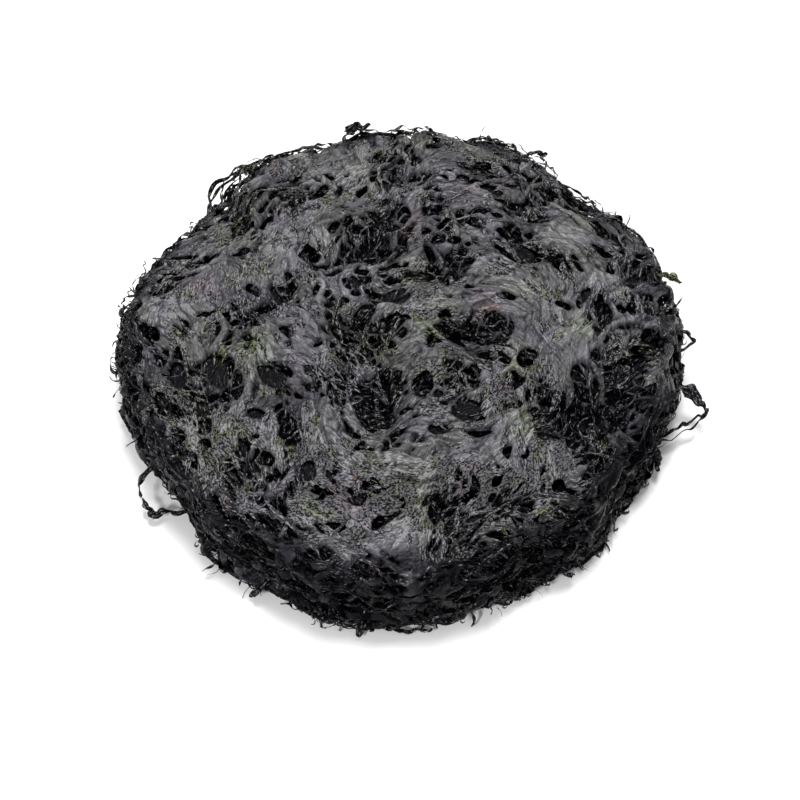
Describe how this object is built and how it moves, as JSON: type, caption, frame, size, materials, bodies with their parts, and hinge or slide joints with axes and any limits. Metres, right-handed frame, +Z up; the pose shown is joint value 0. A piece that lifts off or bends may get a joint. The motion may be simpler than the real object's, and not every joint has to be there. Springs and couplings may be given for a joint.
{
  "type": "dried purple laver cake",
  "caption": "Round flat cake of dried purple laver seaweed: matted strands, a pitted top, a layered side and frayed fronds round the rim.",
  "frame": {"origin": "middle of the flat underside, on the surface that the cake rests on", "axes": "+Z up through the cake's thickness, its shortest extent; -Y is the side shown to the front of the picture's view, +X its right"},
  "size_m": [0.2604, 0.2574, 0.0559],
  "materials": {
    "laver": "dried seaweed, near black, matte with small glossy folds"
  },
  "bodies": {
    "root": {"laver_cake": "laver"}
  },
  "joints": []
}
